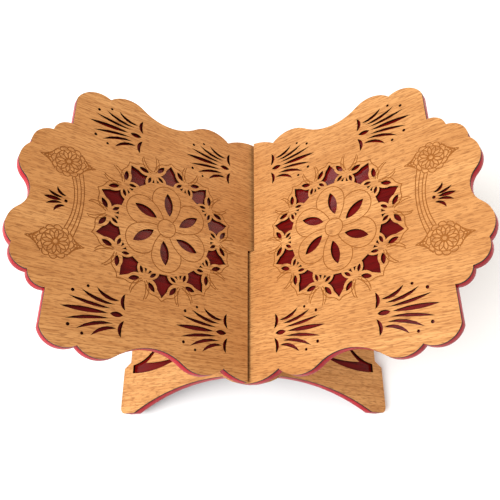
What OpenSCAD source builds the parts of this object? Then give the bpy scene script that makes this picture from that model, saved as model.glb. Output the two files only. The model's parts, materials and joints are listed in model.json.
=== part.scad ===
// Folding book stand of two identical crossed panels, halved into each other along the hinge line.
// Each panel is a thin wood face sheet, cut through and engraved, glued on a solid red backing board.
// Panel coordinates: u runs up the wing from the hinge line, v along the depth, w out of the face.

/* [Panel] */
// Angle of each wing above the table
wing_angle = 35; // [30:0.5:42]
// Length of a wing from the hinge line to its outermost lobes
wing_len = 268; // [255:1:330]
// Length of a leg from the hinge line to its ground edge
leg_len = 198; // [160:1:240]
// Depth of a panel at the hinge line
hinge_depth = 304; // [296:1:370]
// Depth of a panel over its feet
foot_depth = 338; // [300:1:410]
// Thickness of the wood face sheet
face_t = 3; // [2:0.25:4.5]
// Thickness of the red backing board
back_t = 9; // [3:0.25:12]

/* [Halving slots] */
// Extra half width of a slot beyond the width at which it pinches the other panel
slot_play = 0.35; // [0.3:0.05:1]
// Gap between the two slot ends where the panels meet
slot_gap = 0.6; // [0.4:0.1:2]

/* [Wing outline] */
// Depth of the shallow valley in the middle of the outer edge
tip_valley = 15; // [8:1:20]
// Half width of that valley between its shoulders
tip_valley_half = 18; // [12:1:22]
// Distance from the outermost lobe in to the straight side by the corner
corner_inset = 43; // [36:1:50]
// How far the side valley lies below the hinge lobe
side_valley = 21.5; // [15:0.5:28]

/* [Foot outline] */
// Height of the relief between the two feet of a leg
relief_h = 11; // [6:1:16]
// Width of one foot along its ground edge
foot_w = 48; // [35:1:60]
// Run of the sloping step from a foot in to the relief
foot_step = 7; // [3:0.5:12]
// Radius that rounds the outer corner of a foot
foot_round = 8; // [5:1:12]
// Height above the ground edge to which the outer side of a foot is straight
foot_side = 24; // [16:1:36]

/* [Rosette] */
// Distance of the rosette's centre from the hinge line
rosette_u = 113; // [105:1:130]
// Radius of the rosette's inner disc
disc_r = 53; // [45:0.5:54]
// Petals engraved on the disc
petals = 6; // [5:1:8]
// Points of the pierced ring round the disc
ring_points = 10; // [8:1:10]

/* [Leaf sprays] */
// Length of a pierced leaf spray
spray_len = 63; // [50:1:66]
// Distance of the sprays' midlines in from the side edge at the hinge line
spray_edge_inset = 49; // [44:1:52]
// Distance of the inner sprays' roots from the hinge line
spray_inner_u = 33; // [28:1:36]
// Distance from the corner side in to the outer sprays' tips
spray_outer_inset = 14; // [10:1:20]

/* [Tip ornament] */
// Distance of the engraved medallions from the middle of the panel
medallion_v = 44; // [42:1:50]
// Radius of an engraved medallion without its pendants
medallion_r = 17; // [14:0.5:20]
// Distance from the outermost lobe in to the medallions' centres
medallion_inset = 45; // [42:1:50]

/* [Engraving] */
// Width of an engraved line
line_w = 1; // [0.5:0.1:1.2]
// Depth of an engraved line
line_d = 0.4; // [0.2:0.1:1]

/* [Hidden] */
$fn = 96;
panel_t = face_t + back_t;
half_hinge = hinge_depth / 2;
half_foot = foot_depth / 2;
axis_z = leg_len * sin(wing_angle) + panel_t / 2 * cos(wing_angle);
foot_inner = half_foot - foot_round - foot_w;
quarter_bow = 1 - cos(45);
spray_v = half_hinge - spray_edge_inset;
rosette_k = disc_r / 53;
medallion_k = medallion_r / 20;
slot_half = panel_t / 2 / tan(wing_angle) + slot_play;
dot_r = 0.6 * line_w;
side_u = wing_len - corner_inset;
valley_u = wing_len - tip_valley;
shoulder_u = valley_u + 8;
fine_turn = 7;
coarse_turn = 16;
longest_facet = 9;
past = 1;
wood = [0.93, 0.68, 0.42];
red = [0.72, 0.10, 0.18];

// ---- arcs through two points; a positive bow stands out to the right of the way from p to q ----

function bow_radius(l, bow) = (l * l / 4 + bow * bow) / (2 * bow);
function bow_centre(p, q, bow) =
    let (l = norm(q - p), right = [q.y - p.y, p.x - q.x] / l)
    (p + q) / 2 + right * (bow - bow_radius(l, bow));
function bow_sweep(p, q, bow) = 4 * atan(2 * bow / norm(q - p));
function bow_start(p, q, bow) = let (r = p - bow_centre(p, q, bow)) atan2(r.y, r.x);

// Points from p up to but not including q, each turning by no more than the given angle
function bow_points(p, q, bow, turn) =
    abs(bow) < 0.01 ? [p] :
    let (c = bow_centre(p, q, bow), r = norm(p - c), a = bow_start(p, q, bow), s = bow_sweep(p, q, bow))
    let (steps = max(ceil(abs(s) / turn), ceil(norm(q - p) / longest_facet)))
    [for (i = [0 : steps - 1]) c + r * [cos(a + s * i / steps), sin(a + s * i / steps)]];

// Points of a run of corners given as [u, v, bow of the side that starts there]; the last corner is left out
function run_points(corners, turn) =
    [for (i = [0 : len(corners) - 2])
        let (p = corners[i], q = corners[i + 1])
        each bow_points([p.x, p.y], [q.x, q.y], p.z, turn)];
function outline_points(corners, turn) = run_points(concat(corners, [corners[0]]), turn);

// ---- flat shapes ----

// Pointed leaf lying along u, its middle at the origin
module leaf(l, w) {
    r = (l * l + w * w) / (4 * w);
    intersection() {
        translate([0, r - w / 2]) circle(r);
        translate([0, w / 2 - r]) circle(r);
    }
}

// Engraved line along the arc from p to q, sunk from the face at w = 0; k scales its path and not its width
module line_arc(p, q, bow, k = 1) {
    c = bow_centre(p, q, bow) * k;
    r = norm(p * k - c);
    a = bow_start(p, q, bow);
    s = bow_sweep(p, q, bow);
    translate([c.x, c.y, -line_d])
        rotate([0, 0, min(a, a + s)])
            rotate_extrude(angle = abs(s)) translate([r - line_w / 2, 0]) square([line_w, line_d + past]);
}

module line_ring(r) {
    translate([0, 0, -line_d])
        rotate_extrude() translate([r - line_w / 2, 0]) square([line_w, line_d + past]);
}

// Dot a little wider than a line, over the place where one line runs smoothly into another
module line_dot(p, k) {
    translate([p.x * k, p.y * k, -line_d]) cylinder(r = dot_r, h = line_d + past);
}

// ---- outline of a panel ----

// One side of the panel, from the shoulder of the tip valley round to the relief in the ground edge
side_corners = [
    [shoulder_u, tip_valley_half, 7.6],
    [shoulder_u - 1, 53, 6.6],
    [wing_len - 25.5, 75.5, 4.6],
    [side_u, 89.5, 0],
    [side_u, half_hinge - 28, 8.5],
    [wing_len - 78, half_hinge - 15, 7.2],
    [wing_len - 116, half_hinge - 11, 10 - side_valley],
    [84, half_hinge - 9.5, 8],
    [38.5, half_hinge - 11.5, 11.5],
    [-35, half_hinge - 11.5, -8.5],
    [foot_side - leg_len, half_foot, 0],
    [foot_round - leg_len, half_foot, quarter_bow * foot_round],
    [-leg_len, half_foot - foot_round, 0],
    [-leg_len, foot_inner, 0],
    [relief_h - leg_len, foot_inner - foot_step, 0],
];

module panel_outline() {
    shoulder = [shoulder_u, tip_valley_half];
    relief = side_corners[len(side_corners) - 1];
    half = concat(run_points(side_corners, fine_turn), [[relief.x, relief.y]]);
    difference() {
        polygon(concat(
            bow_points([shoulder.x, -shoulder.y], shoulder, valley_u - shoulder_u, fine_turn),
            half,
            [for (i = [len(half) - 1 : -1 : 1]) [half[i].x, -half[i].y]]));
        translate([-slot_half, -slot_gap / 2]) square([2 * slot_half, half_hinge + past]);
    }
}

// ---- rosette: petalled disc in a pointed pierced ring, drawn for a disc of radius 53 ----

// Ogee window with its point outwards
module ring_window() {
    polygon(outline_points([
        [4.4, 53.1, -1.6], [11.9, 61.2, -1.4], [5.5, 70.6, 0], [0, 78.4, 0],
        [-5.5, 70.6, -1.4], [-11.9, 61.2, -1.6], [-4.4, 53.1, 0]], coarse_turn));
}

// Pierced leaves and the small wedge on one side of a window
module ring_leaves() {
    translate([11.7, 69.1]) rotate(127) leaf(12, 5.2);
    translate([11.2, 56.4]) rotate(38) leaf(8.6, 3.7);
    polygon([[12.2, 52.6], [15.1, 51.3], [16.8, 55.8]]);
}

module rosette_cuts() {
    scale(rosette_k) {
        for (i = [0 : ring_points - 1]) rotate(i * 360 / ring_points) {
            ring_window();
            ring_leaves();
            mirror([1, 0]) ring_leaves();
        }
        for (i = [0 : petals - 1]) rotate(i * 360 / petals)
            translate([0.4, 28.8]) rotate(98.7) leaf(27.8, 10.2);
    }
}

// Lines outside one window: the arch over its point and the tendrils of the flower beside it
module ring_lines() {
    for (side = [-1, 1]) {
        line_arc([0, 82.4], [side * 8.4, 77.2], side * 0.9, rosette_k);
        line_arc([side * 8.4, 77.2], [side * 17.2, 67], -side * 3, rosette_k);
    }
    rotate(-180 / ring_points) for (side = [-1, 1]) {
        line_arc([side * 1, 67], [side * 7.4, 85.5], side * 2, rosette_k);
        line_arc([side * 2.4, 65.5], [side * 9, 84], side * 3.4, rosette_k);
    }
}

module rosette_lines() {
    line_ring(10.4 * rosette_k);
    for (i = [0 : petals - 1]) rotate(i * 360 / petals) {
        line_arc([14.7, 33], [-18, 27], 19.8, rosette_k);
        line_arc([6.8, 8.9], [14.7, 33], 2, rosette_k);
        line_dot([14.7, 33], rosette_k);
    }
    for (i = [0 : ring_points - 1]) rotate(i * 360 / ring_points) ring_lines();
}

// ---- leaf sprays: root at the origin, growing towards +u ----

// Curved blade from p to q, bowed by the first value along its outer edge and the second along its inner
module blade(p, q, outer, inner) {
    polygon(outline_points([[p.x, p.y, outer], [q.x, q.y, -inner]], coarse_turn));
}

// Drawn 63 long
module spray_cuts() {
    scale(spray_len / 63) {
        translate([40, 0]) leaf(45, 5);
        translate([9.5, 0]) leaf(13, 5.4);
        for (side = [-1, 1]) scale([1, side]) {
            blade([15, 4.8], [56.5, 11], 3, -0.5);
            blade([11.5, 9.2], [46, 19.2], 4.6, 0.9);
            blade([8, 13.6], [31.5, 23.4], 5, 1.3);
            blade([1.5, 5], [3, 21.5], 4.8, 0.9);
            translate([53, 16.2]) circle(1.7);
            translate([39.5, 22.6]) circle(1.5);
        }
    }
}

// Small spray between the medallions
module bud_cuts() {
    translate([4, 0]) leaf(17, 4.4);
    translate([-8.4, 0]) circle(1.7);
    for (side = [-1, 1]) scale([1, side]) {
        blade([-5.5, 3], [9.5, 7.6], 3, -0.2);
        blade([-8.5, 5.4], [1.5, 13.4], 4, 0.9);
    }
}

// ---- engraved medallion and the banded arc that ties the pair together ----

// Flower of twelve petals with a pointed pendant at each end, drawn for a radius of 20
module medallion_lines() {
    lobes = 12;
    for (r = [3, 15]) line_ring(r * medallion_k);
    for (end = [-1, 1]) {
        for (side = [-1, 1]) {
            line_arc([end * 14, side * 14], [end * 32, 0], end * side * 2.4, medallion_k);
            line_arc([end * 19.5, side * 6], [end * 28, 0], end * side * 0.8, medallion_k);
        }
        translate([end * 22 * medallion_k, 0, 0]) line_ring(1.7 * medallion_k);
    }
    for (i = [0 : lobes - 1]) rotate(i * 360 / lobes) {
        line_arc([3.6, 0], [14.2, 0], 2.2, medallion_k);
        line_arc([3.6, 0], [14.2, 0], -2.2, medallion_k);
        line_arc([17.2, -4.2], [17.2, 4.2], 2.8, medallion_k);
        line_arc([15.4, 0], [17.2, 4.2], -1.2, medallion_k);
    }
}

// Two double lines bowed away from the tip, each running from one medallion's rim to the other's
module band_lines() {
    for (back = [17.5, 14, 10, 6.5] * medallion_k) {
        reach = medallion_v - sqrt(medallion_r * medallion_r - back * back);
        line_arc([-back, reach], [-back, -reach], 5.5);
    }
}

// ---- window of a leg: a forked crescent on each side of the middle ----

module leg_cuts() {
    wall = foot_inner - 3;
    root = relief_h - leg_len + 5;
    for (side = [-1, 1]) scale([1, side])
        polygon(outline_points([
            [root, wall + 10.5, -5.8], [root + 87, wall - 2.5, 2.4], [root + 23.5, wall, -14],
            [root + 50, wall - 75, 22], [root, wall, 0]], fine_turn));
}

// ---- the two sheets of a panel ----

module face_cuts() {
    translate([rosette_u, 0]) rosette_cuts();
    for (side = [-1, 1]) {
        translate([spray_inner_u, side * spray_v]) spray_cuts();
        translate([side_u - spray_outer_inset - spray_len, side * spray_v]) spray_cuts();
    }
    translate([wing_len - medallion_inset + 5, 0]) bud_cuts();
    leg_cuts();
}

module face_lines() {
    translate([rosette_u, 0, 0]) rosette_lines();
    for (side = [-1, 1]) translate([wing_len - medallion_inset, side * medallion_v, 0]) medallion_lines();
    translate([wing_len - medallion_inset, 0, 0]) band_lines();
}

module face_sheet() {
    color(wood) difference() {
        translate([0, 0, panel_t / 2 - face_t]) linear_extrude(face_t) panel_outline();
        translate([0, 0, panel_t / 2 - face_t - past]) linear_extrude(face_t + 2 * past) face_cuts();
        translate([0, 0, panel_t / 2]) face_lines();
    }
}

module backing() {
    color(red) translate([0, 0, -panel_t / 2]) linear_extrude(back_t) panel_outline();
}

// ---- the crossed pair: the left panel is the right one turned half a turn about the upright ----

module as_right_panel() {
    translate([0, 0, axis_z]) rotate([0, -wing_angle, 0]) children();
}

module as_left_panel() {
    rotate([0, 0, 180]) as_right_panel() children();
}

module right_panel_face_sheet() { as_right_panel() face_sheet(); }
module right_panel_backing() { as_right_panel() backing(); }
module left_panel_face_sheet() { as_left_panel() face_sheet(); }
module left_panel_backing() { as_left_panel() backing(); }

left_panel_face_sheet();
left_panel_backing();
right_panel_face_sheet();
right_panel_backing();
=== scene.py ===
import json
import math

import bmesh
import bpy
from mathutils import Matrix, Vector


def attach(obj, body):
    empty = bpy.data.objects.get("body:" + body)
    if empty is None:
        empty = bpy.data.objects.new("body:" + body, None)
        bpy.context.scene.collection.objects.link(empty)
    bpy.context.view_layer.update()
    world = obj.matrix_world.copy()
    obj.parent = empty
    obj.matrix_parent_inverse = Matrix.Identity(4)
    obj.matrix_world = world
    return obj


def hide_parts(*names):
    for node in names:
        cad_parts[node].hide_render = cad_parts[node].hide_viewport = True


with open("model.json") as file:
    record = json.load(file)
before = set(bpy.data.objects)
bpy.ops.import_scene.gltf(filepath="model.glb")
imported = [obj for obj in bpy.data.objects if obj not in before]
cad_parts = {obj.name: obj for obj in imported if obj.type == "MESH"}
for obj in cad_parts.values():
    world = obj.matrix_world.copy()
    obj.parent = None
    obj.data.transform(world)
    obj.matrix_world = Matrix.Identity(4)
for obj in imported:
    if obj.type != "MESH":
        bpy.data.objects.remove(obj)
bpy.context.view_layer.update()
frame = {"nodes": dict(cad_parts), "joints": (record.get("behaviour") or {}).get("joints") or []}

# ---- what the frame says about the two panels ----

hinge = Vector(next(j for j in frame["joints"] if j["name"] == "fold")["pos_m"])
SIDES = ("left", "right")


def panel_slope(side):
    """Angle of the wing above the table, from the widest flat face of the panel's backing board."""
    mesh = frame["nodes"][f"{side}_panel_backing"].data
    widest = max(mesh.polygons, key=lambda face: face.area)
    return math.atan2(abs(widest.normal.x), abs(widest.normal.z))


def panel_mapping(side):
    """Turn and shift that take a point of the stand to its panel.

    There x runs up the wing, y along the hinge and z out of the face.
    """
    slope = panel_slope(side)
    turn = Matrix.Rotation(slope, 4, "Y")
    if side == "left":
        turn = turn @ Matrix.Rotation(math.pi, 4, "Z")
    return turn @ Matrix.Translation(-hinge)


def face_height(side):
    """Height of the face above the middle of the panel's thickness."""
    to_panel = panel_mapping(side)
    sheet = frame["nodes"][f"{side}_panel_face_sheet"].data
    return max((to_panel @ v.co).z for v in sheet.vertices)


# ---- small helpers for node materials ----

class Finish:
    """A material, with short ways to add and wire its nodes."""

    def __init__(self, name):
        self.material = bpy.data.materials.new(name)
        self.material.use_nodes = True
        self.nodes = self.material.node_tree.nodes
        self.links = self.material.node_tree.links
        self.shader = self.nodes["Principled BSDF"]

    def add(self, kind, **settings):
        node = self.nodes.new(kind)
        for name, value in settings.items():
            setattr(node, name, value)
        return node

    def feed(self, source, target):
        if hasattr(source, "is_output"):
            self.links.new(source, target)
        else:
            target.default_value = source

    def math(self, operation, a, b=0.0, clamp=False):
        node = self.add("ShaderNodeMath", operation=operation, use_clamp=clamp)
        self.feed(a, node.inputs[0])
        self.feed(b, node.inputs[1])
        return node.outputs[0]

    def between(self, value, low, high):
        """0 below low, 1 above high, and a smooth rise between them."""
        node = self.add("ShaderNodeMapRange", interpolation_type="SMOOTHSTEP")
        self.feed(value, node.inputs["Value"])
        node.inputs["From Min"].default_value = low
        node.inputs["From Max"].default_value = high
        return node.outputs["Result"]

    def mix(self, share, under, over, blend="MIX"):
        node = self.add("ShaderNodeMix", data_type="RGBA", blend_type=blend)
        sockets = {socket.identifier: socket for socket in node.inputs}
        self.feed(share, sockets["Factor_Float"])
        self.feed(under, sockets["A_Color"])
        self.feed(over, sockets["B_Color"])
        return next(socket for socket in node.outputs if socket.identifier == "Result_Color")

    def noise(self, at, stretch, detail=3.0, roughness=0.55, distortion=0.0):
        """Noise whose grains are as many a metre along x, y and z as stretch says."""
        space = self.add("ShaderNodeMapping")
        self.feed(at, space.inputs["Vector"])
        space.inputs["Scale"].default_value = stretch
        node = self.add("ShaderNodeTexNoise")
        self.feed(space.outputs["Vector"], node.inputs["Vector"])
        node.inputs["Scale"].default_value = 1.0
        node.inputs["Detail"].default_value = detail
        node.inputs["Roughness"].default_value = roughness
        node.inputs["Distortion"].default_value = distortion
        return node.outputs["Fac"]

    def panel_point(self, side):
        """Where a point lies on its panel, in metres."""
        to_panel = panel_mapping(side)
        where = self.add("ShaderNodeTexCoord")
        space = self.add("ShaderNodeMapping")
        self.feed(where.outputs["Object"], space.inputs["Vector"])
        space.inputs["Location"].default_value = to_panel.translation
        space.inputs["Rotation"].default_value = to_panel.to_euler("XYZ")
        return space.outputs["Vector"]

    def facing(self, side):
        """1 where a face looks out of the panel, 0 where it is a cut edge and -1 underneath."""
        out = panel_mapping(side).to_3x3().inverted() @ Vector((0, 0, 1))
        where = self.add("ShaderNodeTexCoord")
        node = self.add("ShaderNodeVectorMath", operation="DOT_PRODUCT")
        self.feed(where.outputs["Normal"], node.inputs[0])
        node.inputs[1].default_value = out
        return node.outputs["Value"]

    def depth(self, point):
        node = self.add("ShaderNodeSeparateXYZ")
        self.feed(point, node.inputs[0])
        return node.outputs["Z"]

    def bump(self, height, strength, distance):
        node = self.add("ShaderNodeBump")
        self.feed(height, node.inputs["Height"])
        node.inputs["Strength"].default_value = strength
        node.inputs["Distance"].default_value = distance
        self.feed(node.outputs["Normal"], self.shader.inputs["Normal"])


# ---- finishes ----

PALE_WOOD = (0.615, 0.302, 0.106, 1)
WARM_WOOD = (0.498, 0.218, 0.067, 1)
STREAK = (0.350, 0.133, 0.035, 1)
FLECK = (0.205, 0.067, 0.016, 1)
ENGRAVED = (0.285, 0.094, 0.014, 1)
SCORCHED = (0.012, 0.004, 0.002, 1)
LACQUER = (0.138, 0.0030, 0.0024, 1)
LACQUER_STREAK = (0.055, 0.0013, 0.0011, 1)
EDGE_LACQUER = (0.400, 0.0080, 0.0170, 1)
EDGE_SHADE = (0.230, 0.0035, 0.0070, 1)

# How far below the face the browning of a line starts and is full, and where the scorching of a cut does
BROWNED = (0.00012, 0.00030)
CUT_THROUGH = (0.00045, 0.00060)


def pierced_wood(side):
    """Satin wood with its grain up the wing, browned in its lines and scorched in its cuts."""
    face = face_height(side)
    f = Finish(f"{side}_face_wood")
    at = f.panel_point(side)
    tone = f.noise(at, (4, 13, 13), detail=2, roughness=0.5)
    band = f.noise(at, (7, 95, 95), detail=3, roughness=0.55, distortion=0.5)
    fibre = f.noise(at, (30, 560, 560), detail=4, roughness=0.58, distortion=0.3)
    fleck = f.noise(at, (115, 840, 840), detail=2, roughness=0.5)
    wood = f.mix(f.between(tone, 0.30, 0.70), PALE_WOOD, WARM_WOOD)
    wood = f.mix(f.math("MULTIPLY", f.between(band, 0.42, 0.68), 0.55), wood, WARM_WOOD)
    wood = f.mix(f.math("MULTIPLY", f.between(fibre, 0.42, 0.64), 0.60), wood, STREAK)
    wood = f.mix(f.math("MULTIPLY", f.between(fleck, 0.50, 0.64), 0.56), wood, FLECK)
    depth = f.depth(at)
    sunk = f.between(depth, *(face - below for below in BROWNED))
    burnt = f.between(f.facing(side), 0.6, 0.4)
    deep = f.between(depth, *(face - below for below in CUT_THROUGH))
    colour = f.mix(f.math("MULTIPLY", sunk, f.math("SUBTRACT", 1.0, deep)), wood, ENGRAVED)
    colour = f.mix(f.math("MULTIPLY", burnt, deep), colour, SCORCHED)
    f.feed(colour, f.shader.inputs["Base Color"])
    f.feed(f.math("ADD", 0.44, f.math("MULTIPLY", fibre, 0.18)), f.shader.inputs["Roughness"])
    f.shader.inputs["Specular IOR Level"].default_value = 0.12
    f.bump(f.math("ADD", fibre, f.math("MULTIPLY", fleck, 0.6)), 0.35, 0.00012)
    return f.material


def face_lacquer(side):
    """Deep red lacquer on the board's broad faces, with the board's grain showing through it."""
    f = Finish(f"{side}_face_lacquer")
    at = f.panel_point(side)
    grain = f.noise(at, (30, 480, 480), detail=4, roughness=0.62, distortion=0.2)
    cloud = f.noise(at, (9, 16, 16), detail=2)
    colour = f.mix(f.math("MULTIPLY", f.between(grain, 0.42, 0.66), 0.75), LACQUER, LACQUER_STREAK)
    colour = f.mix(f.math("MULTIPLY", f.between(cloud, 0.42, 0.72), 0.40), colour, LACQUER_STREAK)
    f.feed(colour, f.shader.inputs["Base Color"])
    f.feed(f.math("ADD", 0.15, f.math("MULTIPLY", grain, 0.10)), f.shader.inputs["Roughness"])
    f.shader.inputs["Specular IOR Level"].default_value = 0.09
    f.bump(grain, 0.2, 0.0001)
    return f.material


def edge_lacquer(side):
    """Brighter lacquer on the cut edges, thinner and darker in patches where the board drank it."""
    f = Finish(f"{side}_edge_lacquer")
    at = f.panel_point(side)
    patch = f.noise(at, (60, 60, 110), detail=3)
    layer = f.noise(at, (18, 18, 1500), detail=2, roughness=0.5)
    share = f.math("MULTIPLY", f.between(patch, 0.40, 0.70), 0.55)
    colour = f.mix(share, EDGE_LACQUER, EDGE_SHADE)
    colour = f.mix(f.math("MULTIPLY", f.between(layer, 0.45, 0.70), 0.30), colour, EDGE_SHADE)
    f.feed(colour, f.shader.inputs["Base Color"])
    f.feed(f.math("ADD", 0.24, f.math("MULTIPLY", patch, 0.16)), f.shader.inputs["Roughness"])
    f.shader.inputs["Specular IOR Level"].default_value = 0.05
    f.shader.inputs["Coat Weight"].default_value = 0.01
    f.shader.inputs["Coat Roughness"].default_value = 0.12
    f.bump(layer, 0.12, 0.0001)
    return f.material


# ---- the two sheets of a panel ----

EDGE_ROUND = 0.0007
EDGE_STEPS = 3
SHARP = math.radians(35)
BROAD_FACE = 0.99
WELD = 1e-6
FLAT = math.radians(0.5)


def face_sheet(side):
    sheet = frame["nodes"][f"{side}_panel_face_sheet"]
    sheet.data.materials.clear()
    sheet.data.materials.append(pierced_wood(side))


def backing_board(side):
    """The board with the round that lacquer leaves on its long edges."""
    board = frame["nodes"][f"{side}_panel_backing"]
    out = panel_mapping(side).to_3x3().inverted() @ Vector((0, 0, 1))
    bm = bmesh.new()
    bm.from_mesh(board.data)
    bmesh.ops.remove_doubles(bm, verts=bm.verts, dist=WELD)
    bmesh.ops.dissolve_limit(
        bm, angle_limit=FLAT, verts=bm.verts, edges=bm.edges, use_dissolve_boundaries=False)
    rims = [edge for edge in bm.edges
            if sum(abs(face.normal.dot(out)) > BROAD_FACE for face in edge.link_faces) == 1]
    bmesh.ops.bevel(
        bm, geom=rims, offset=EDGE_ROUND, offset_type="OFFSET", segments=EDGE_STEPS, profile=0.5,
        affect="EDGES", material=-1, clamp_overlap=True)
    bmesh.ops.recalc_face_normals(bm, faces=bm.faces)
    for face in bm.faces:
        face.smooth = True
        face.material_index = 0 if abs(face.normal.dot(out)) > BROAD_FACE else 1
    mesh = bpy.data.meshes.new(f"{side}_board")
    bm.to_mesh(mesh)
    bm.free()
    mesh.materials.append(face_lacquer(side))
    mesh.materials.append(edge_lacquer(side))
    mesh.set_sharp_from_angle(angle=SHARP)
    piece = bpy.data.objects.new(f"{side}_board", mesh)
    bpy.context.scene.collection.objects.link(piece)
    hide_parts(f"{side}_panel_backing")
    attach(piece, f"{side}_panel")


for side in SIDES:
    face_sheet(side)
    backing_board(side)


# ---- floor, light and camera ----

FLOOR_HALF = 4
SENSOR = 36
ROOM_STRENGTH = 0.60
# Name, place, side in metres, watts and colour of each light
LAMPS = (
    ("key", (-1.5, -0.75, 1.95), 1.9, 88, (1, 1, 1)),
    ("right_card", (1.5, 0.95, 1.15), 0.9, 15, (1, 0.84, 0.66)),
    ("left_card", (-1.45, 1.45, 1.05), 0.5, 6, (1, 1, 1)),
)
# Camera's place from the top of the crease, its angles in degrees and its lens in millimetres
CAMERA_FROM_CREASE = Vector((0.0087, -0.2493, 0.5556))
CAMERA_DOWN = 65.62
CAMERA_TURN = -2.25
CAMERA_LEAN = -2.53
CAMERA_LENS = 37.27


def floor():
    bm = bmesh.new()
    bmesh.ops.create_grid(bm, x_segments=1, y_segments=1, size=FLOOR_HALF)
    mesh = bpy.data.meshes.new("floor")
    bm.to_mesh(mesh)
    bm.free()
    piece = bpy.data.objects.new("floor", mesh)
    bpy.context.scene.collection.objects.link(piece)
    f = Finish("floor_paint")
    cloud = f.noise(f.add("ShaderNodeTexCoord").outputs["Object"], (3, 3, 3))
    f.feed(f.mix(cloud, (0.91, 0.91, 0.905, 1), (0.935, 0.935, 0.93, 1)), f.shader.inputs["Base Color"])
    f.shader.inputs["Roughness"].default_value = 0.9
    f.shader.inputs["Specular IOR Level"].default_value = 0.1
    mesh.materials.append(f.material)


def lamp(name, place, size, watts, colour):
    """A square soft light aimed at the middle of the stand."""
    light = bpy.data.lights.new(name, "AREA")
    light.shape = "SQUARE"
    light.size = size
    light.energy = watts
    light.color = colour
    piece = bpy.data.objects.new(name, light)
    piece.location = place
    piece.rotation_euler = (hinge - Vector(place)).to_track_quat("-Z", "Y").to_euler()
    bpy.context.scene.collection.objects.link(piece)


def room(strength):
    world = bpy.data.worlds.new("studio")
    world.use_nodes = True
    back = world.node_tree.nodes["Background"]
    back.inputs["Color"].default_value = (1, 1, 1, 1)
    back.inputs["Strength"].default_value = strength
    bpy.context.scene.world = world


def camera(place, down, turn, lean, lens):
    """Camera looking down and turned by the given angles, and leaning about its own line of sight."""
    pitch, yaw, roll = (math.radians(a) for a in (down, turn, lean))
    ahead = Vector((math.sin(yaw) * math.cos(pitch), math.cos(yaw) * math.cos(pitch), -math.sin(pitch)))
    level = Vector((math.cos(yaw), -math.sin(yaw), 0))
    raised = level.cross(ahead)
    right = level * math.cos(roll) + raised * math.sin(roll)
    up = raised * math.cos(roll) - level * math.sin(roll)
    data = bpy.data.cameras.new("camera")
    data.lens = lens
    data.sensor_width = SENSOR
    piece = bpy.data.objects.new("camera", data)
    piece.matrix_world = Matrix.Translation(place) @ Matrix((right, up, -ahead)).transposed().to_4x4()
    bpy.context.scene.collection.objects.link(piece)
    bpy.context.scene.camera = piece


floor()
room(ROOM_STRENGTH)
for light in LAMPS:
    lamp(*light)
crease = hinge + Vector((0, 0, face_height("right") / math.cos(panel_slope("right"))))
camera(crease + CAMERA_FROM_CREASE, CAMERA_DOWN, CAMERA_TURN, CAMERA_LEAN, CAMERA_LENS)
bpy.context.scene.view_settings.view_transform = "Standard"
